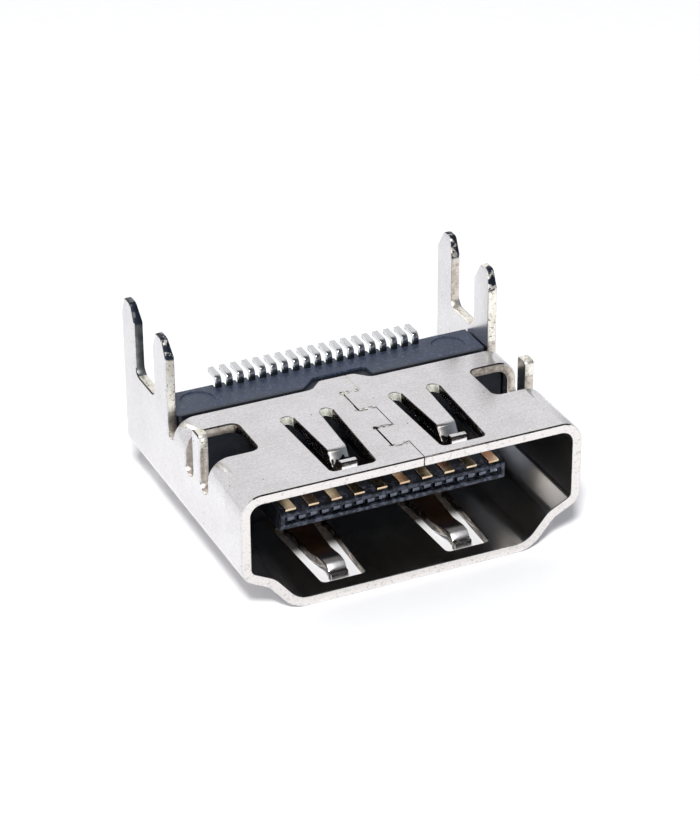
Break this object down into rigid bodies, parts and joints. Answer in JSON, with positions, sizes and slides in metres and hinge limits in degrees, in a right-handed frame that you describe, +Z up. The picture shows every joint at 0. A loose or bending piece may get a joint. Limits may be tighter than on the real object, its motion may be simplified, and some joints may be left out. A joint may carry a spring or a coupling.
{
  "type": "digital video socket",
  "caption": "Board-mounted digital video receptacle: folded metal shell with spring fingers and board legs, a plastic housing with a tongue, and two rows of bent contacts.",
  "frame": {"origin": "bottom centre of the bounding box: on the outer face of the narrow wall, midway between the mouth and the rear, on the symmetry plane of the mouth", "axes": "+X along the mouth, +Y from the mouth to the rear, +Z up, from the narrow wall to the wide wall and the board legs"},
  "size_m": [0.0148, 0.0124, 0.0088],
  "materials": {
    "plated_steel": "satin nickel plate",
    "dark_plastic": "matt, glass-filled",
    "plated_copper": "gold plate at the pads, tin at the tails"
  },
  "bodies": {
    "root": {"shell": "plated_steel", "housing": "dark_plastic", "contact_01": "plated_copper", "contact_02": "plated_copper", "contact_03": "plated_copper", "contact_04": "plated_copper", "contact_05": "plated_copper", "contact_06": "plated_copper", "contact_07": "plated_copper", "contact_08": "plated_copper", "contact_09": "plated_copper", "contact_10": "plated_copper", "contact_11": "plated_copper", "contact_12": "plated_copper", "contact_13": "plated_copper", "contact_14": "plated_copper", "contact_15": "plated_copper", "contact_16": "plated_copper", "contact_17": "plated_copper", "contact_18": "plated_copper", "contact_19": "plated_copper"}
  },
  "joints": []
}
